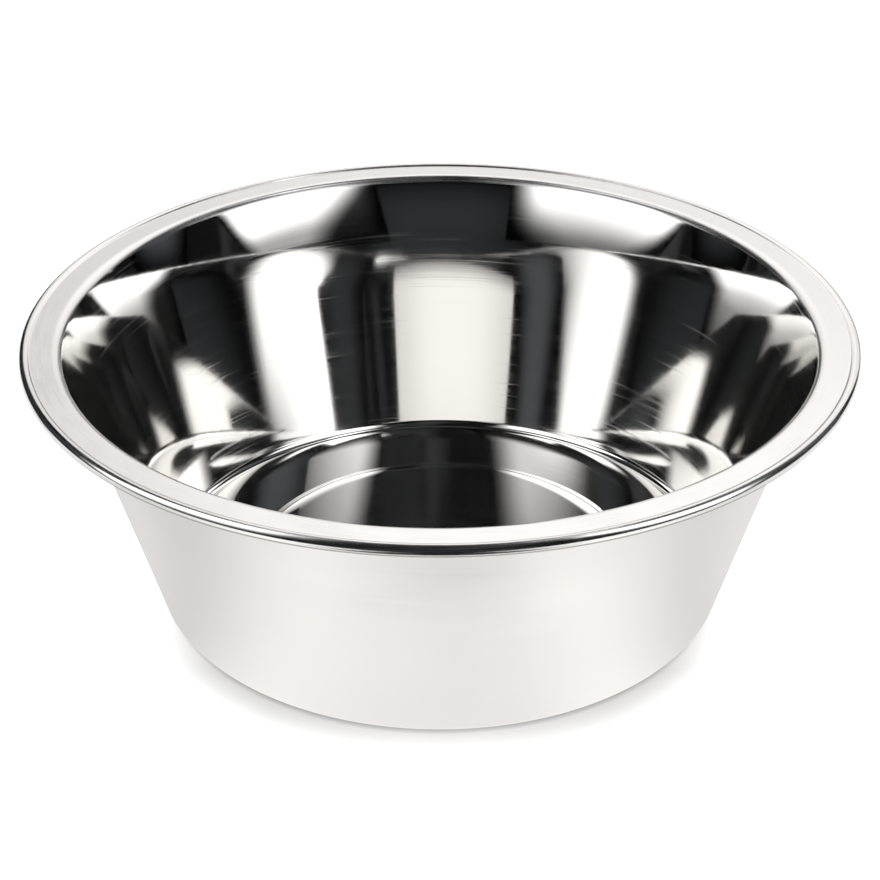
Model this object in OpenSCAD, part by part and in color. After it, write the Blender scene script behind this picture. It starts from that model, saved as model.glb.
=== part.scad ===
// Stainless steel dog bowl: a shell drawn from one sheet, with a flat rim whose
// edge is rolled over a steel wire. The sheet is described by its middle line, a
// chain of tangent bends from the centre out to the edge, with straight runs between.
// The wall is a straight cone for most of its height and flares gently below the rim.
// Origin: the centre of the foot, on the surface the bowl stands on. +Z is up.

/* [Shell] */
// Height from the foot to the top of the rim
bowl_h = 97.5; // [85:0.5:115]
// Diameter at which the outside of the wall would meet the table
foot_d = 197; // [180:1:206]
// Thickness of the sheet
sheet_t = 0.8; // [0.6:0.1:1]
// Outside radius of the gentle bend between the flat of the foot and the corner
heel_r = 36; // [28:1:44]
// How far the sheet turns upwards in the gentle bend, in degrees
heel_turn = 12; // [9:0.5:15]
// Outside radius of the corner between the gentle bend and the wall
corner_r = 4.5; // [3.5:0.5:6]
// Middle radius of the gentle flare at the top of the wall
flare_r = 150; // [100:5:200]
// How far the wall turns outwards in the flare, in degrees
flare_turn = 8; // [4:0.5:12]

/* [Rim] */
// Diameter over the rolled edge
rim_d = 280; // [270:1:300]
// Width of the rim, from where its top becomes flat to the outer edge
rim_w = 10.8; // [9:0.2:14]
// Radius of the top face of the bend from the wall out into the rim
lip_r = 3.5; // [2.5:0.5:5]
// Diameter of the rolled edge
bead_d = 4; // [3.6:0.1:5]
// How far the top of the rolled edge stands above the flat of the rim
bead_rise = 0.75; // [0.4:0.05:1.2]
// Middle radius of the hollow bend that leads up from the flat to the rolled edge
hollow_r = 1; // [0.8:0.1:2]
// How far the edge of the sheet is rolled round, in degrees
bead_turn = 270; // [240:5:280]
// Clearance between the wire and the inside of the rolled edge, all round
wire_gap = 0.05; // [0.03:0.01:0.1]

/* [Floor] */
// Diameter of the raised centre of the floor, across its flat
centre_d = 119; // [100:1:124]
// How far the raised centre stands above the foot
centre_h = 3.7; // [3.2:0.1:5]
// Middle radius of the bend at the top of the step round the raised centre
step_top_r = 15; // [10:0.5:17]
// Middle radius of the bend at the foot of that step
step_foot_r = 2.5; // [1.5:0.1:3]
// Slope of the step, in degrees from level
step_a = 32; // [28:1:36]

/* [Hidden] */
$fn = 144;
// Largest turn between two points of a bend, in degrees
facet_a = 6;

// Bend from the wall out into the rim
rim_r = rim_d / 2;
foot_r = foot_d / 2;
half_t = sheet_t / 2;
lip_mid = lip_r - half_t;
lip_c = [rim_r - rim_w, bowl_h - bead_rise - lip_r];

// Wall: the one slope at which the straight cone from the foot's line, the flare and the
// bend into the rim meet tangentially. It solves reach * cos(a) - lip_z * sin(a) = flare_gap.
reach = lip_c[0] - foot_r;
lip_z = lip_c[1];
flare_gap = flare_r - half_t - (flare_r - lip_mid) * cos(flare_turn);
wall_a = acos(flare_gap / norm([reach, lip_z])) - atan2(lip_z, reach);
function wall_out(z) = foot_r + z * tan(wall_a);

// Flare, round a centre outside the bowl
flare_a = wall_a + flare_turn;
flare_c = lip_c + (flare_r - lip_mid) * [cos(flare_a), -sin(flare_a)];

// Corner, and the gentle bend that leads from the flat of the foot up to it
heel_gap = heel_r - corner_r;
corner_z = heel_r - heel_gap * cos(heel_turn);
corner_c = [wall_out(corner_z) - corner_r / cos(wall_a), corner_z];
corner_mid = corner_r - half_t;
heel_c = [corner_c[0] - heel_gap * sin(heel_turn), heel_r];
heel_mid = heel_r - half_t;

// Rolled edge and the wire inside it
bead_r = bead_d / 2;
bead_mid = bead_r - half_t;
bead_c = [rim_r - bead_r, bowl_h - bead_r];
wire_r = bead_r - sheet_t - wire_gap;

// Hollow bend from the flat up to the rolled edge: both turn through the same angle
hollow_a = acos(1 - bead_rise / (bead_mid + hollow_r));
hollow_c = bead_c + (bead_mid + hollow_r) * [-sin(hollow_a), cos(hollow_a)];

// Step round the raised centre: a wide bend at its top, a straight slope and a bend at its foot
centre_r = centre_d / 2;
step_bends = step_top_r + step_foot_r;
slope_rise = centre_h - step_bends * (1 - cos(step_a));
slope_run = slope_rise / tan(step_a);
step_top_c = [centre_r, centre_h + half_t - step_top_r];
step_foot_c = [centre_r + step_bends * sin(step_a) + slope_run, half_t + step_foot_r];

// Points round the centre c, from one angle to another, in steps of facet_a or less
function arc(c, r, from, to) =
    let (steps = ceil(abs(to - from) / facet_a))
    [for (i = [0 : steps]) let (a = from + (to - from) * i / steps) c + r * [cos(a), sin(a)]];

// One face of the sheet, at a height above its middle line, from the axis outwards
function face(above) = concat(
    [[0, centre_h + half_t + above]],
    arc(step_top_c, step_top_r + above, 90, 90 - step_a),
    arc(step_foot_c, step_foot_r - above, 270 - step_a, 270),
    arc(heel_c, heel_mid - above, 270, 270 + heel_turn),
    arc(corner_c, corner_mid - above, 270 + heel_turn, 360 - wall_a),
    arc(flare_c, flare_r + above, 180 - wall_a, 180 - flare_a),
    arc(lip_c, lip_mid + above, 180 - flare_a, 90),
    arc(hollow_c, hollow_r - above, 270, 270 + hollow_a),
    arc(bead_c, bead_mid + above, 90 + hollow_a, 90 - bead_turn)
);

function reversed(points) = [for (i = [len(points) - 1 : -1 : 0]) points[i]];

// Half section of the sheet, from the axis out to the rolled edge
module shell_section() {
    polygon(concat(face(half_t), reversed(face(-half_t))));
}

// Floor, wall, flat rim and rolled edge, drawn from one sheet
module bowl_shell() {
    color([0.80, 0.80, 0.79])
    rotate_extrude()
    shell_section();
}

// Round wire ring that the edge of the sheet is rolled over
module rim_wire() {
    color([0.52, 0.53, 0.54])
    rotate_extrude()
    translate(bead_c)
    circle(r = wire_r);
}

bowl_shell();
rim_wire();
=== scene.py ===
"""Stainless steel dog bowl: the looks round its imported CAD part.

The bowl is one drawn sheet with a rolled edge, mirror polished inside and satin outside.
It is modelled here as a fine spun shell with the part's own sizes and four steel finishes,
and stands on a white table between large soft lights.
"""

import math

import bpy
from bpy.props import FloatProperty, FloatVectorProperty, IntProperty, PointerProperty
from mathutils import Matrix, Vector


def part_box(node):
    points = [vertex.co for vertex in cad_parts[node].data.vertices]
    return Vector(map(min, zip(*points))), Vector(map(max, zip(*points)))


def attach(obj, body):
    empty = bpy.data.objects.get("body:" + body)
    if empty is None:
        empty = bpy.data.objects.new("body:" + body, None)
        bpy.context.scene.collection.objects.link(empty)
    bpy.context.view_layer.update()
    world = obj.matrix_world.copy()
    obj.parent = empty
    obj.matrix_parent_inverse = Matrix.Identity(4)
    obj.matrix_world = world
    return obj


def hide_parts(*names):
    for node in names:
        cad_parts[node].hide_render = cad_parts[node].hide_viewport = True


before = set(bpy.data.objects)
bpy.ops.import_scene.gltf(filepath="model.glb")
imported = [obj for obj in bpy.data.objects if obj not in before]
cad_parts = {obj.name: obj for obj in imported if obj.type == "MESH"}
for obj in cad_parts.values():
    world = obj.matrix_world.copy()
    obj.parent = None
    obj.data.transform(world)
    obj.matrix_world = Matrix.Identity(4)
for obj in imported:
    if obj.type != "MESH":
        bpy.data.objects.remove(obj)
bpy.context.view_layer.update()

bl_info = {
    "name": "Stainless Dog Bowl",
    "version": (1, 0, 0),
    "blender": (4, 5, 0),
    "location": "View3D > Sidebar > Dog Bowl",
    "description": "Models and finishes a drawn stainless steel dog bowl round its packed part",
    "category": "Object",
}

MM = 0.001
SHELL_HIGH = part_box("bowl_shell")[1]
# How far the support points stand from the ends of a straight stretch
SUPPORT = 0.4 * MM


def srgb(code):
    """A hex colour such as #d9d6d0 as three linear values."""
    parts = [int(code[i : i + 2], 16) / 255 for i in (1, 3, 5)]
    return tuple(p / 12.92 if p <= 0.04045 else ((p + 0.055) / 1.055) ** 2.4 for p in parts)


def length(name, description, millimetres):
    """A length property whose default is given in millimetres."""
    return FloatProperty(
        name=name, description=description, default=millimetres * MM, min=0, unit="LENGTH", precision=5
    )


def angle(name, description, degrees):
    """An angle property whose default is given in degrees."""
    return FloatProperty(
        name=name, description=description, default=math.radians(degrees), subtype="ANGLE"
    )


def colour(name, description, code):
    """A colour property whose default is a hex value."""
    return FloatVectorProperty(
        name=name, description=description, default=srgb(code), min=0, max=1, subtype="COLOR"
    )


def share_of_one(name, description, value):
    """A number property from nought to one."""
    return FloatProperty(name=name, description=description, default=value, min=0, max=1, precision=3)


class BowlSizes(bpy.types.PropertyGroup):
    """Sizes of the drawn sheet, the same as the part's."""

    sheet: length("Sheet", "Thickness of the sheet", 0.8)
    foot_d: length("Foot diameter", "Diameter at which the wall's outside would meet the table", 197)
    heel_r: length("Heel radius", "Outside radius of the gentle bend from the foot up to the corner", 36)
    heel_turn: angle("Heel turn", "How far the sheet turns upwards in the gentle bend", 12)
    corner_r: length("Corner radius", "Outside radius of the corner below the wall", 4.5)
    flare_r: length("Flare radius", "Middle radius of the gentle flare below the rim", 150)
    flare_turn: angle("Flare turn", "How far the wall turns outwards in the flare", 8)
    rim_w: length("Rim width", "From where the rim's top becomes flat to the outer edge", 10.8)
    lip_r: length("Lip radius", "Top radius of the bend from the wall into the rim", 3.5)
    bead_d: length("Rolled edge", "Diameter of the rolled edge", 4)
    bead_rise: length("Rolled edge rise", "Height of the rolled edge above the flat of the rim", 0.75)
    hollow_r: length("Hollow radius", "Middle radius of the bend up to the rolled edge", 1)
    bead_turn: angle("Roll", "How far the edge is rolled round", 270)
    centre_d: length("Raised centre", "Diameter of the raised centre of the floor, across its flat", 119)
    centre_h: length("Centre height", "Height of the raised centre above the foot", 3.7)
    step_top_r: length("Step top radius", "Middle radius of the bend at the top of the step", 15)
    step_foot_r: length("Step foot radius", "Middle radius of the bend at the foot of the step", 2.5)
    step_a: angle("Step slope", "Slope of the step round the raised centre", 32)
    wedge_steps: IntProperty(
        name="Wedge steps", description="Steps of the first spun wedge", default=20, min=2
    )
    doublings: IntProperty(
        name="Doublings",
        description="How often the wedge is doubled to close the turn",
        default=4,
        min=1,
        max=6,
    )


def arc(centre, radius, start, end, step):
    """Points round a centre, from one angle to another in degrees, at most one step apart."""
    count = max(1, math.ceil(abs(end - start) / step - 1e-6))
    turns = [math.radians(start + (end - start) * i / count) for i in range(count + 1)]
    return [Vector((centre[0] + radius * math.cos(t), centre[1] + radius * math.sin(t))) for t in turns]


class Section:
    """Half section of the sheet as radius and height, worked out as the part does."""

    def __init__(self, sizes):
        rim_r = SHELL_HIGH[0]
        top = SHELL_HIGH[2]
        self.half = sizes.sheet / 2
        self.sizes = sizes
        foot_r = sizes.foot_d / 2
        turn = sizes.flare_turn
        self.lip_mid = sizes.lip_r - self.half
        self.lip = Vector((rim_r - sizes.rim_w, top - sizes.bead_rise - sizes.lip_r))
        reach = self.lip[0] - foot_r
        gap = sizes.flare_r - self.half - (sizes.flare_r - self.lip_mid) * math.cos(turn)
        wall = math.acos(gap / math.hypot(reach, self.lip[1])) - math.atan2(self.lip[1], reach)
        flare = wall + turn
        flare_reach = sizes.flare_r - self.lip_mid
        self.flare = self.lip + flare_reach * Vector((math.cos(flare), -math.sin(flare)))
        self.wall_a = math.degrees(wall)
        self.flare_a = math.degrees(flare)
        heel_gap = sizes.heel_r - sizes.corner_r
        corner_z = sizes.heel_r - heel_gap * math.cos(sizes.heel_turn)
        wall_at_corner = foot_r + corner_z * math.tan(wall)
        self.corner = Vector((wall_at_corner - sizes.corner_r / math.cos(wall), corner_z))
        self.heel = Vector((self.corner[0] - heel_gap * math.sin(sizes.heel_turn), sizes.heel_r))
        bead_r = sizes.bead_d / 2
        self.bead_mid = bead_r - self.half
        self.bead = Vector((rim_r - bead_r, top - bead_r))
        roll_bends = self.bead_mid + sizes.hollow_r
        hollow = math.acos(1 - sizes.bead_rise / roll_bends)
        self.hollow = self.bead + roll_bends * Vector((-math.sin(hollow), math.cos(hollow)))
        self.hollow_a = math.degrees(hollow)
        bends = sizes.step_top_r + sizes.step_foot_r
        rise = sizes.centre_h - bends * (1 - math.cos(sizes.step_a))
        run = bends * math.sin(sizes.step_a) + rise / math.tan(sizes.step_a)
        centre_r = sizes.centre_d / 2
        self.step_top = Vector((centre_r, sizes.centre_h + self.half - sizes.step_top_r))
        self.step_foot = Vector((centre_r + run, self.half + sizes.step_foot_r))

    def face(self, above):
        """One face of the sheet, at a height above its middle line, from the axis outwards."""
        s = self.sizes
        step_a = math.degrees(s.step_a)
        heel_end = 270 + math.degrees(s.heel_turn)
        bead_turn = math.degrees(s.bead_turn)
        runs = [
            [Vector((0, s.centre_h + self.half + above))],
            arc(self.step_top, s.step_top_r + above, 90, 90 - step_a, 2),
            arc(self.step_foot, s.step_foot_r - above, 270 - step_a, 270, 4),
            arc(self.heel, s.heel_r - self.half - above, 270, heel_end, 1),
            arc(self.corner, s.corner_r - self.half - above, heel_end, 360 - self.wall_a, 3),
            arc(self.flare, s.flare_r + above, 180 - self.wall_a, 180 - self.flare_a, 0.5),
            arc(self.lip, self.lip_mid + above, 180 - self.flare_a, 90, 5),
            arc(self.hollow, s.hollow_r - above, 270, 270 + self.hollow_a, 9),
            arc(self.bead, self.bead_mid + above, 90 + self.hollow_a, 90 - bead_turn, 9),
        ]
        return with_support(runs)


def with_support(runs):
    """Joins the runs of points, with one more close to each end of the straights between them.

    The extra points keep the shading of a flat stretch flat right up to its bends.
    """
    points = list(runs[0])
    for run in runs[1:]:
        start, end = points[-1], run[0]
        gap = end - start
        if gap.length > 3 * SUPPORT:
            points += [start + gap.normalized() * SUPPORT, end - gap.normalized() * SUPPORT]
        points += run if gap.length > 1e-7 else run[1:]
    return points


def deselect_all():
    """Nothing is selected, so that the next tool acts on its own object alone."""
    if bpy.context.mode != "OBJECT":
        bpy.ops.object.mode_set(mode="OBJECT")
    bpy.ops.object.select_all(action="DESELECT")


def draw_outline(name, points):
    """A chain of edges through the points in the XZ plane, drawn with the extrude tool."""
    deselect_all()
    bpy.ops.mesh.primitive_plane_add(size=MM)
    piece = bpy.context.active_object
    piece.name = piece.data.name = name
    bpy.ops.object.mode_set(mode="EDIT")
    bpy.ops.mesh.merge(type="CENTER")
    bpy.ops.transform.translate(value=(points[0][0], 0, points[0][1]))
    for here, there in zip(points, points[1:]):
        step = (there[0] - here[0], 0, there[1] - here[1])
        bpy.ops.mesh.extrude_vertices_move(TRANSFORM_OT_translate={"value": step})
    return piece


def add_node(tree, kind, *values, **settings):
    """Adds a node with its settings, and gives the inputs it uses the values in their order.

    A socket is linked, and so is a node, by the first output that it uses. Anything else is set.
    """
    node = tree.nodes.new("ShaderNode" + kind)
    for name, value in settings.items():
        setattr(node, name, value)
    for target, value in zip([socket for socket in node.inputs if socket.enabled], values):
        if isinstance(value, bpy.types.Node):
            value = next(socket for socket in value.outputs if socket.enabled)
        if isinstance(value, bpy.types.NodeSocket):
            tree.links.new(value, target)
        else:
            target.default_value = value
    return node


def steel(name, tone, roughness, anisotropic):
    """A bare stainless steel and its shader, before its surface pattern."""
    material = bpy.data.materials.new(name)
    material.use_nodes = True
    material.diffuse_color = (*tone, 1)
    tree = material.node_tree
    shader = tree.nodes["Principled BSDF"]
    shader.inputs["Base Color"].default_value = (*tone, 1)
    shader.inputs["Metallic"].default_value = 1
    shader.inputs["Roughness"].default_value = roughness
    shader.inputs["Anisotropic"].default_value = anisotropic
    if anisotropic:
        tangent = add_node(tree, "Tangent", direction_type="RADIAL", axis="Z")
        tree.links.new(tangent.outputs[0], shader.inputs["Tangent"])
        shader.inputs["Anisotropic Rotation"].default_value = 0.25
    return material, tree, shader


def level_radius(tree, place):
    """The place moved down to the table, and its distance from the bowl's axis."""
    level = add_node(tree, "VectorMath", place, (1, 1, 0), operation="MULTIPLY")
    return level, add_node(tree, "VectorMath", level, operation="LENGTH")


def total(tree, first, *others):
    """The sum of several values."""
    for other in others:
        first = add_node(tree, "Math", first, other, operation="ADD")
    return first


def ring_lines(tree, pitch, run, detail=2.0):
    """Noise in lines round the bowl, as turning and buffing leave them.

    Pitch is the spacing of the lines down the section and run is their length, both in metres.
    """
    place = add_node(tree, "TexCoord").outputs["Object"]
    height = add_node(tree, "SeparateXYZ", place).outputs["Z"]
    level, radius = level_radius(tree, place)
    count = add_node(tree, "Math", total(tree, radius, height), 1 / pitch, operation="MULTIPLY")
    rows = add_node(tree, "CombineXYZ", 0, 0, count)
    runs = add_node(tree, "VectorMath", level, (1 / run, 1 / run, 1), operation="MULTIPLY")
    where = add_node(tree, "VectorMath", rows, runs, operation="ADD")
    return add_node(tree, "TexNoise", where, 1.0, detail)


def clouds(tree, size, detail=2.0):
    """Soft noise on the piece whose patches are about one size across, in metres."""
    place = add_node(tree, "TexCoord").outputs["Object"]
    return add_node(tree, "TexNoise", place, 1 / size, detail)


def scratches(tree, size, width, share):
    """Sparse curved hairline scratches, one where they are and nought elsewhere.

    Size is how far apart they wander, width how fine they are, share how much has them.
    """
    wander = add_node(tree, "Math", clouds(tree, size, 1.0), 0.5, operation="SUBTRACT")
    away = add_node(tree, "Math", wander, operation="ABSOLUTE")
    line = add_node(tree, "MapRange", away, 0, width, 1, 0)
    patch = add_node(tree, "MapRange", clouds(tree, size * 0.7, 0.0), 0.62 - share, 0.68 - share, 0, 1)
    return add_node(tree, "Math", line, patch, operation="MULTIPLY")


def relief(tree, shader, height, depth):
    """Bumps the surface by a height, whose full range is a depth in metres."""
    bump = add_node(tree, "Bump", 1.0, depth)
    tree.links.new(height.outputs[0], bump.inputs["Height"])
    tree.links.new(bump.outputs[0], shader.inputs["Normal"])


class BowlFinish(bpy.types.PropertyGroup):
    """Colours and gloss of the sheet's finishes and of the wire."""

    steel: colour("Steel", "Colour of the polished steel", "#e3e2e0")
    satin: colour("Satin steel", "Colour of the satin outside", "#e6e3e0")
    rim: colour("Rim steel", "Colour of the satin flat of the rim", "#d2d1d0")
    wire: colour("Wire", "Colour of the drawn wire", "#b4b5b8")
    centre: colour("Centre steel", "Colour of the floor's raised centre", "#d6d5d4")
    # Painted shade: this darker colour on the rolled edge's underside stands for the shade under the roll
    under: colour("Edge's underside", "Colour of the dull underside of the rolled edge", "#8b8782")
    mirror_rough: share_of_one("Inside roughness", "Roughness of the mirror polish", 0.042)
    rim_rough: share_of_one("Rim roughness", "Roughness of the rim's top", 0.22)
    satin_rough: share_of_one("Outside roughness", "Roughness of the satin outside", 0.42)


def mirror_polish(finish):
    """Stainless steel buffed to a mirror, as the inside of a drawn bowl."""
    # A buffed mirror shows its surroundings almost sharp. Fine rings from the buffing wheel soften
    # the reflections a little along the section, faint haze makes the polish uneven, and a few
    # rings are scored deeper. The real rings are under 0.1 mm apart. They are drawn at 1.1 mm,
    # so that they show.
    material, tree, shader = steel("mirror_polished_stainless", finish.steel, finish.mirror_rough, 0.25)
    rings = ring_lines(tree, 1.1 * MM, 60 * MM, 3.0)
    scored = ring_lines(tree, 0.5 * MM, 45 * MM, 0.0)
    base = add_node(tree, "MapRange", rings, 0.3, 0.7, finish.mirror_rough * 0.7, finish.mirror_rough * 1.5)
    strays = add_node(tree, "MapRange", scored, 0.70, 0.80, 0, 0.08)
    haze = add_node(tree, "MapRange", clouds(tree, 38 * MM), 0.35, 0.7, -0.010, 0.014)
    # The floor is buffed less evenly than the wall, and its raised centre is a little darker
    place = add_node(tree, "TexCoord").outputs["Object"]
    height = add_node(tree, "SeparateXYZ", place).outputs["Z"]
    floor = add_node(tree, "MapRange", height, 4 * MM, 14 * MM, 0.012, 0)
    level, radius = level_radius(tree, place)
    centre = add_node(tree, "MapRange", radius, 60 * MM, 64 * MM, 1, 0)
    tone = add_node(tree, "Mix", centre, (*finish.steel, 1), (*finish.centre, 1), data_type="RGBA")
    tree.links.new(tone.outputs["Result"], shader.inputs["Base Color"])
    rough = total(tree, base, haze, strays, floor)
    tree.links.new(rough.outputs[0], shader.inputs["Roughness"])
    relief(tree, shader, rings, 0.0015 * MM)
    # The faint wide haze round bright reflections, which very fine buffing marks give
    shader.inputs["Coat Weight"].default_value = 0.06
    shader.inputs["Coat Roughness"].default_value = 0.32
    return material


def rim_satin(finish):
    """Stainless steel with a fine, bright satin, as the flat of the rim."""
    # The rim's top is finished once with a fine belt and looks evenly light and soft. Its grain,
    # under 0.1 mm in the real steel, is drawn at 0.5 mm, with faint broad patches.
    material, tree, shader = steel("bright_satin_stainless", finish.rim, finish.rim_rough, 0.3)
    grain = ring_lines(tree, 0.5 * MM, 14 * MM, 3.0)
    patches = add_node(tree, "MapRange", clouds(tree, 18 * MM), 0.3, 0.7, -0.03, 0.04)
    base = add_node(tree, "MapRange", grain, 0.3, 0.7, finish.rim_rough - 0.04, finish.rim_rough + 0.05)
    tree.links.new(total(tree, base, patches).outputs[0], shader.inputs["Roughness"])
    relief(tree, shader, grain, 0.0015 * MM)
    return material


def edge_polish(finish):
    """Stainless steel burnished by the rolling tool, as the rolled edge."""
    # The rolling tool presses the edge bright, with fine lines along it and faint dull spots.
    # Its underside is made duller, and its colour is darkened there as painted shade under the roll.
    material, tree, shader = steel("burnished_edge_stainless", finish.steel, 0.15, 0)
    lines = ring_lines(tree, 0.4 * MM, 30 * MM, 2.0)
    spots = add_node(tree, "MapRange", clouds(tree, 9 * MM), 0.5, 0.75, 0, 0.06)
    base = add_node(tree, "MapRange", lines, 0.3, 0.7, 0.12, 0.19)
    height = add_node(tree, "SeparateXYZ", add_node(tree, "TexCoord").outputs["Object"]).outputs["Z"]
    top = SHELL_HIGH[2]
    under = add_node(tree, "MapRange", height, top - 2.8 * MM, top - 2.3 * MM, 1, 0)
    dull = add_node(tree, "Math", under, 0.2, operation="MULTIPLY")
    tree.links.new(total(tree, base, spots, dull).outputs[0], shader.inputs["Roughness"])
    # Painted shade: the underside of the rolled edge takes the darker colour
    tone = add_node(tree, "Mix", under, (*finish.steel, 1), (*finish.under, 1), data_type="RGBA")
    tree.links.new(tone.outputs["Result"], shader.inputs["Base Color"])
    relief(tree, shader, lines, 0.001 * MM)
    # The wide haze that the press of the rolling tool leaves
    shader.inputs["Coat Weight"].default_value = 0.35
    shader.inputs["Coat Roughness"].default_value = 0.4
    return material


def outside_satin(finish):
    """Stainless steel with a fine satin grain that runs round the bowl."""
    # A fine belt run round the turning bowl leaves close rings, so reflections are drawn out into
    # soft upright bands. The rings, about 0.05 mm apart in the real steel, are drawn at 0.6 mm.
    # The foot is a little duller, where it has slid on floors.
    material, tree, shader = steel("satin_stainless", finish.satin, finish.satin_rough, 0.75)
    grain = ring_lines(tree, 0.6 * MM, 50 * MM, 3.0)
    patches = add_node(tree, "MapRange", clouds(tree, 45 * MM), 0.3, 0.7, -0.02, 0.02)
    height = add_node(tree, "SeparateXYZ", add_node(tree, "TexCoord").outputs["Object"]).outputs["Z"]
    wear = add_node(tree, "MapRange", height, 0.2 * MM, 1.5 * MM, 0.10, 0)
    scuffs = add_node(tree, "Math", scratches(tree, 14 * MM, 0.02, 0.3), wear, operation="MULTIPLY")
    low, high = finish.satin_rough - 0.025, finish.satin_rough + 0.025
    base = add_node(tree, "MapRange", grain, 0.3, 0.7, low, high)
    rough = total(tree, base, patches, wear, scuffs)
    tree.links.new(rough.outputs[0], shader.inputs["Roughness"])
    relief(tree, shader, grain, 0.0012 * MM)
    return material


def drawn_wire(finish):
    """Bare steel wire as it comes from the drawing die."""
    # Drawing leaves the wire grey and half dull, with fine streaks along it.
    material, tree, shader = steel("drawn_wire_steel", finish.wire, 0.35, 0)
    streaks = ring_lines(tree, 0.15 * MM, 12 * MM, 2.0)
    rough = add_node(tree, "MapRange", streaks, 0.3, 0.7, 0.28, 0.44)
    tree.links.new(rough.outputs[0], shader.inputs["Roughness"])
    relief(tree, shader, streaks, 0.002 * MM)
    return material


# The bowl's material slots
OUTSIDE, INSIDE, RIM, EDGE = range(4)
# Faces of the rolled edge that point up more than this have the rim's finish
CREST_UPWARD = 0.94


class DOGBOWL_OT_shell(bpy.types.Operator):
    """Spins the bowl's sheet from its section and gives each zone its own steel finish"""

    bl_idname = "dogbowl.shell"
    bl_label = "Model the Bowl"

    def execute(self, context):
        sizes = context.scene.bowl_sizes
        finish = context.scene.bowl_finish
        section = Section(sizes)
        outline = section.face(section.half) + section.face(-section.half)[::-1]
        shell = draw_outline("steel_bowl", outline)
        wedge = 2 * math.pi / 2**sizes.doublings
        bpy.ops.mesh.select_all(action="SELECT")
        bpy.ops.mesh.spin(steps=sizes.wedge_steps, angle=wedge, center=(0, 0, 0), axis=(0, 0, 1))
        for turn in range(sizes.doublings):
            bpy.ops.mesh.select_all(action="SELECT")
            bpy.ops.mesh.duplicate()
            bpy.ops.transform.rotate(value=wedge * 2**turn, orient_axis="Z", center_override=(0, 0, 0))
        bpy.ops.mesh.select_all(action="SELECT")
        bpy.ops.mesh.remove_doubles(threshold=0.01 * MM)
        bpy.ops.mesh.normals_make_consistent(inside=False)
        bpy.ops.object.mode_set(mode="OBJECT")
        bpy.ops.object.shade_smooth_by_angle(angle=math.radians(40))
        for material in (outside_satin, mirror_polish, rim_satin, edge_polish):
            shell.data.materials.append(material(finish))
        lip_start = section.lip[0] - sizes.lip_r * math.cos(math.radians(section.flare_a))
        roll_reach = section.bead_mid + section.half * 1.1
        for polygon in shell.data.polygons:
            x, y, z = polygon.center
            radius = math.hypot(x, y)
            upward = polygon.normal[2]
            rolled = math.dist((radius, z), section.bead) < roll_reach
            inner_top = radius < section.bead[0] and upward > 0
            if rolled and not inner_top and upward < CREST_UPWARD:
                polygon.material_index = EDGE
            elif upward <= 0:
                polygon.material_index = OUTSIDE
            elif radius > lip_start:
                polygon.material_index = RIM
            else:
                polygon.material_index = INSIDE
        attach(shell, "root")
        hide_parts("bowl_shell")
        return {"FINISHED"}


class DOGBOWL_OT_wire(bpy.types.Operator):
    """Gives the wire inside the rolled edge its drawn steel finish"""

    bl_idname = "dogbowl.wire"
    bl_label = "Finish the Wire"

    def execute(self, context):
        finish = context.scene.bowl_finish
        material = drawn_wire(finish)
        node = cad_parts["rim_wire"]
        for slot in node.material_slots:
            slot.material = material
        return {"FINISHED"}


class BowlStudio(bpy.types.PropertyGroup):
    """The table, the lights round the bowl and the camera."""

    table: colour("Table", "Colour of the table", "#f6f6f5")
    table_glow: FloatProperty(
        name="Table glow", description="Strength of the light from inside the table", default=0.85, min=0
    )
    table_width: length("Table width", "Width of the table", 4000)
    table_depth: length("Table depth", "Depth of the table, from its front edge", 4000)
    table_front: length("Table front", "Distance of the table's front edge from the bowl's axis", 300)
    camera_distance: length("Camera distance", "Level distance from the bowl's axis to the camera", 627.8)
    camera_height: length("Camera height", "Height of the camera above the table", 414.2)
    camera_tilt: angle("Camera tilt", "How far the camera looks down", 30.02)
    camera_roll: angle("Camera roll", "How far the camera is turned about its own line of sight", -0.11)
    camera_lens: FloatProperty(
        name="Lens", description="Focal length of the camera", default=85.4, unit="CAMERA", min=1
    )


def emitter(name):
    """A material with no shader yet, and its node tree."""
    material = bpy.data.materials.new(name)
    material.use_nodes = True
    material.node_tree.nodes.clear()
    return material, material.node_tree


def emit(tree, tone, power):
    """Ends a light's material: it glows in a tone with a power."""
    add_node(tree, "OutputMaterial", add_node(tree, "Emission", tone, power))


def soft_glow(name, tone, strength, size, fade, edges, corners):
    """A light that glows evenly and fades softly to a share of its strength at each edge.

    The fades and the shares at the edges are for the left, right, lower and upper edge. Corners
    lists further fades: how much a step right and a step up count, where the fade starts and ends
    on that measure in metres, and the share that is left there.
    """
    material, tree = emitter(name)
    axes = add_node(tree, "SeparateXYZ", add_node(tree, "TexCoord").outputs["Object"]).outputs
    fades = []
    for side, (axis, sign) in enumerate((("X", -1), ("X", 1), ("Y", -1), ("Y", 1))):
        edge = sign * size["XY".index(axis)] / 2
        fades.append((axes[axis], edge, edge - sign * fade[side], edges[side], 1))
    for right, up, start, end, share in corners:
        across = add_node(tree, "Math", axes["X"], right, operation="MULTIPLY")
        along = add_node(tree, "Math", axes["Y"], up, operation="MULTIPLY")
        fades.append((total(tree, across, along), start, end, 1, share))
    power = strength
    for values in fades:
        kept = add_node(tree, "MapRange", *values, interpolation_type="SMOOTHSTEP")
        power = add_node(tree, "Math", kept, power, operation="MULTIPLY")
    emit(tree, (*tone, 1), power)
    return material


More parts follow.
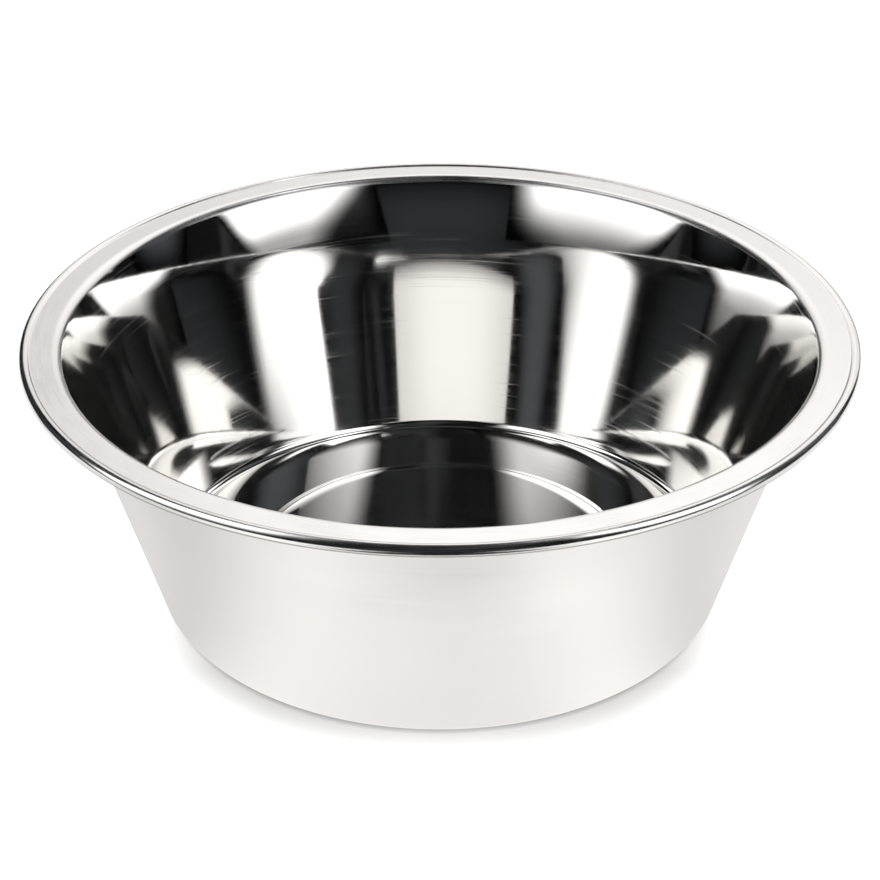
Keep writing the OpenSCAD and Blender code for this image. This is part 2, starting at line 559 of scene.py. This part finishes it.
def card(name, centre, size, facing, tone, strength, fade, edges=(0, 0, 0, 0), corners=()):
    """A flat glowing rectangle that faces a point and that the camera doesn't see."""
    deselect_all()
    bpy.ops.mesh.primitive_plane_add(size=1)
    piece = bpy.context.active_object
    piece.name = piece.data.name = name
    bpy.ops.object.mode_set(mode="EDIT")
    bpy.ops.transform.resize(value=(size[0], size[1], 1))
    bpy.ops.object.mode_set(mode="OBJECT")
    piece.rotation_euler = (Vector(facing) - Vector(centre)).to_track_quat("Z", "Y").to_euler()
    piece.location = centre
    piece.data.materials.append(soft_glow(name + "_glow", tone, strength, size, fade, edges, corners))
    piece.visible_camera = False
    piece.visible_shadow = False


# Strength of the light that comes off the table, by the angle from the front in degrees, from the
# left round to the right. It is strongest in front of the two softboxes.
GROUND_LEVELS = (
    (-180, 1.10),
    (-88, 0.98),
    (-66, 0.85),
    (-33, 1.28),
    (-14, 1.20),
    (14, 1.19),
    (34, 1.32),
    (66, 0.93),
    (88, 1.05),
    (180, 1.10),
)


def ground_glow():
    """A light in the table's plane whose strength changes with the angle from the front.

    Straight in front of the bowl the table is a little brighter close by and dark further away,
    where the camera stands.
    """
    top = max(level for turn, level in GROUND_LEVELS)
    material, tree = emitter("ground_light_glow")
    axes = add_node(tree, "SeparateXYZ", add_node(tree, "TexCoord").outputs["Object"]).outputs
    front = add_node(tree, "Math", axes["Y"], -1.0, operation="MULTIPLY")
    turn = add_node(tree, "Math", axes["X"], front, operation="ARCTAN2")
    ramp = add_node(tree, "ValToRGB", add_node(tree, "MapRange", turn, -math.pi, math.pi, 0, 1))
    ramp.color_ramp.interpolation = "EASE"
    stops = ramp.color_ramp.elements
    while len(stops) < len(GROUND_LEVELS):
        stops.new(0.5)
    for stop, (degrees, level) in zip(stops, GROUND_LEVELS):
        stop.position = (degrees + 180) / 360
        stop.color = (level / top, level / top, level / top, 1)
    side = add_node(tree, "Math", axes["X"], operation="ABSOLUTE")
    ahead = add_node(tree, "MapRange", side, 65 * MM, 125 * MM, 1, 0)
    far = add_node(tree, "MapRange", axes["Y"], -205 * MM, -190 * MM, -1.45, 0)
    close = add_node(tree, "MapRange", axes["Y"], -175 * MM, -120 * MM, 0.46, 0)
    # A change of -1 puts the light out, and one of 1 doubles it
    change = add_node(tree, "Math", ahead, total(tree, far, close), operation="MULTIPLY")
    emit(tree, ramp, add_node(tree, "MapRange", change, -1, 1, 0, 2 * top))
    return material


def backlit_acrylic(studio):
    """White opal acrylic, cast and lit from below, as a photographer's light table."""
    # It looks even and as white as paper, and has no gloss. A thin grey ring of painted shadow, in
    # the table's colour and glow, lies close round the foot, where the acrylic gets no light under the
    # bowl. The painted shadow is weaker right in front, between the shadows that the two softboxes
    # give, and fades out towards the back.
    material = bpy.data.materials.new("backlit_white_acrylic")
    material.use_nodes = True
    tree = material.node_tree
    shader = tree.nodes["Principled BSDF"]
    place = add_node(tree, "TexCoord").outputs["Object"]
    axes = add_node(tree, "SeparateXYZ", place).outputs
    level, radius = level_radius(tree, place)
    side = add_node(tree, "Math", axes["X"], operation="ABSOLUTE")
    contact = add_node(tree, "MapRange", radius, 94.8 * MM, 98.8 * MM, 0.10, 0.50)
    beyond = add_node(tree, "MapRange", radius, 98.8 * MM, 116 * MM, 0, 0.50)
    behind = add_node(tree, "MapRange", axes["Y"], -65 * MM, -10 * MM, 0, 0.40)
    middle = add_node(tree, "MapRange", side, 10 * MM, 55 * MM, 0.12, 0)
    lit = total(tree, contact, beyond, behind, middle)
    # Painted shadow: the ring darkens both the colour and the glow of the table
    tone = add_node(tree, "Mix", lit, (0, 0, 0, 1), (*studio.table, 1), data_type="RGBA").outputs["Result"]
    tree.links.new(tone, shader.inputs["Base Color"])
    tree.links.new(tone, shader.inputs["Emission Color"])
    shader.inputs["Roughness"].default_value = 0.6
    shader.inputs["Specular IOR Level"].default_value = 0
    shader.inputs["Emission Strength"].default_value = studio.table_glow
    return material


class DOGBOWL_OT_studio(bpy.types.Operator):
    """Builds the white table, the soft lights and the camera at the photograph's angle"""

    bl_idname = "dogbowl.studio"
    bl_label = "Build the Studio"

    def execute(self, context):
        studio = context.scene.bowl_studio
        self.build_table(studio)
        self.build_ground_light()
        self.build_lights()
        self.build_world(context.scene)
        self.build_camera(context.scene, studio)
        return {"FINISHED"}

    def build_table(self, studio):
        """Lays the table, which reaches far behind the bowl."""
        deselect_all()
        bpy.ops.mesh.primitive_plane_add(size=1)
        table = bpy.context.active_object
        table.name = table.data.name = "table"
        bpy.ops.object.mode_set(mode="EDIT")
        bpy.ops.transform.resize(value=(studio.table_width, studio.table_depth, 1))
        bpy.ops.transform.translate(value=(0, studio.table_depth / 2 - studio.table_front, 0))
        bpy.ops.object.mode_set(mode="OBJECT")
        table.data.materials.append(backlit_acrylic(studio))

    def build_ground_light(self):
        """Lays the light that the table throws back just above it, where only the steel sees it."""
        deselect_all()
        bpy.ops.mesh.primitive_circle_add(vertices=96, radius=600 * MM, fill_type="NGON")
        ground = bpy.context.active_object
        ground.name = ground.data.name = "ground_light"
        bpy.ops.object.mode_set(mode="EDIT")
        bpy.ops.mesh.select_all(action="SELECT")
        bpy.ops.transform.translate(value=(0, 0, 0.3 * MM))
        bpy.ops.object.mode_set(mode="OBJECT")
        ground.data.materials.append(ground_glow())
        ground.visible_camera = False
        ground.visible_shadow = False
        ground.visible_diffuse = False

    def build_lights(self):
        """Hangs the softboxes and panels whose reflections fill the polished inside."""
        white = srgb("#ffffff")
        warm = srgb("#fffdfb")
        cool = srgb("#e6eff8")
        card(
            "softbox_left",
            centre=(-0.408, -0.039, 0.386),
            size=(0.65, 0.65),
            facing=(-0.308, 0.311, 0.106),
            tone=white,
            strength=2.4,
            fade=(0.07, 0.14, 0.22, 0.05),
            edges=(0, 0, 0.08, 0),
            corners=(
                (0, 1, 0.07, 0.21, 0.02),
                (-1, -1, 0.44, 0.62, 0),
                (-1, 1, 0.22, 0.32, 0.45),
                (1, -1, 0.32, 0.52, 0),
            ),
        )
        card(
            "softbox_right",
            centre=(0.489, -0.137, 0.404),
            size=(0.75, 0.68),
            facing=(0.479, 0.283, 0.094),
            tone=white,
            strength=2.6,
            fade=(0.04, 0.06, 0.04, 0.50),
            corners=(
                (0, -1, 0.15, 0.29, 0.20),
                (-1, 0, 0.14, 0.33, 0),
                (1, -1, 0.40, 0.54, 0.02),
            ),
        )
        card(
            "panel_back",
            centre=(0.13, 0.40, 0.46),
            size=(0.79, 0.62),
            facing=(0.13, 0.0, 0.46),
            tone=warm,
            strength=1.62,
            fade=(0.26, 0.40, 0.28, 0.20),
            edges=(0.75, 0.75, 0.72, 0.4),
        )
        # Dim cards, as pale walls a little way off, keep the dark reflections from being black
        card(
            "room_front",
            centre=(0.0, -0.85, 0.33),
            size=(1.3, 0.62),
            facing=(0.0, 0.0, 0.1),
            tone=cool,
            strength=0.040,
            fade=(0.5, 0.5, 0.25, 0.3),
            edges=(0.1, 0.1, 0.3, 0.0),
        )
        for name, side, strength in (("room_right", 1, 0.125), ("room_left", -1, 0.05)):
            card(
                name,
                centre=(side * 0.42, 0.125, 0.40),
                size=(0.24, 0.7),
                facing=(0.0, 0.0, 0.1),
                tone=cool,
                strength=strength,
                fade=(0.10, 0.10, 0.2, 0.2),
            )
        # Long low cards light the sides of the rolled edge
        for name, side in (("low_left", -1), ("low_right", 1)):
            card(
                name,
                centre=(side * 0.64, 0.0, 0.06),
                size=(0.5, 0.12),
                facing=(0.0, 0.0, 0.06),
                tone=white,
                strength=1.1,
                fade=(0.15, 0.15, 0.02, 0.03),
            )
        card(
            "overhead_left",
            centre=(-0.30, 0.22, 0.90),
            size=(0.3, 0.44),
            facing=(-0.30, 0.22, 0.0),
            tone=white,
            strength=2.0,
            fade=(0.08, 0.06, 0.06, 0.08),
        )
        card(
            "overhead_right",
            centre=(0.28, 0.10, 0.90),
            size=(0.28, 0.46),
            facing=(0.28, 0.10, 0.0),
            tone=white,
            strength=2.6,
            fade=(0.08, 0.08, 0.10, 0.08),
        )
        self.build_table_light()

    def build_table_light(self):
        """Lights the table alone, so that it is as white as paper and shows only a contact shadow."""
        deselect_all()
        bpy.ops.object.light_add(type="AREA", location=(0, 0, 1.5))
        light = bpy.context.active_object
        light.name = "table_light"
        light.data.shape = "SQUARE"
        light.data.size = 2.5
        light.data.energy = 24
        light.visible_glossy = False

    def build_world(self, scene):
        """Puts white behind the bowl for the camera, and a dim room round it for the steel."""
        world = bpy.data.worlds.new("studio")
        scene.world = world
        world.use_nodes = True
        tree = world.node_tree
        tree.nodes.clear()
        # The room is dim, with soft uneven patches that run far up and down, as hung cloth
        place = add_node(tree, "TexCoord").outputs["Generated"]
        hung = add_node(tree, "VectorMath", place, (5.0, 5.0, 0.5), operation="MULTIPLY")
        patches = add_node(tree, "TexNoise", hung, 1.0, 2.0)
        dim = add_node(tree, "MapRange", patches, 0.47, 0.72, 0.007, 0.072)
        room = add_node(tree, "Background", (*srgb("#eef3f8"), 1), dim)
        backdrop = add_node(tree, "Background", (1, 1, 1, 1), 1.0)
        seen = add_node(tree, "LightPath").outputs["Is Camera Ray"]
        add_node(tree, "OutputWorld", add_node(tree, "MixShader", seen, room, backdrop))
        scene.view_settings.view_transform = "Standard"

    def build_camera(self, scene, studio):
        """Sets up the camera where the photograph was taken from."""
        deselect_all()
        bpy.ops.object.camera_add(location=(0, -studio.camera_distance, studio.camera_height))
        camera = bpy.context.active_object
        camera.name = "camera"
        tilt = Matrix.Rotation(math.pi / 2 - studio.camera_tilt, 3, "X")
        roll = Matrix.Rotation(studio.camera_roll, 3, "Z")
        camera.rotation_euler = (tilt @ roll).to_euler()
        camera.data.lens = studio.camera_lens
        camera.data.sensor_width = 36
        camera.data.sensor_fit = "HORIZONTAL"
        scene.camera = camera


class DOGBOWL_PT_panel(bpy.types.Panel):
    """Lists the steps that build the bowl and its studio"""

    bl_idname = "DOGBOWL_PT_panel"
    bl_label = "Dog Bowl"
    bl_space_type = "VIEW_3D"
    bl_region_type = "UI"
    bl_category = "Dog Bowl"

    def draw(self, context):
        for step in STEPS:
            self.layout.operator(step.bl_idname)


STEPS = (DOGBOWL_OT_shell, DOGBOWL_OT_wire, DOGBOWL_OT_studio)
GROUPS = {"bowl_sizes": BowlSizes, "bowl_finish": BowlFinish, "bowl_studio": BowlStudio}


def register():
    for cls in (*GROUPS.values(), *STEPS, DOGBOWL_PT_panel):
        bpy.utils.register_class(cls)
    for name, group in GROUPS.items():
        setattr(bpy.types.Scene, name, PointerProperty(type=group))


def unregister():
    for name in GROUPS:
        delattr(bpy.types.Scene, name)
    for cls in reversed((*GROUPS.values(), *STEPS, DOGBOWL_PT_panel)):
        bpy.utils.unregister_class(cls)


def main():
    """Builds the bowl and its studio."""
    register()
    bpy.ops.dogbowl.shell()
    bpy.ops.dogbowl.wire()
    bpy.ops.dogbowl.studio()


if __name__ == "__main__":
    main()
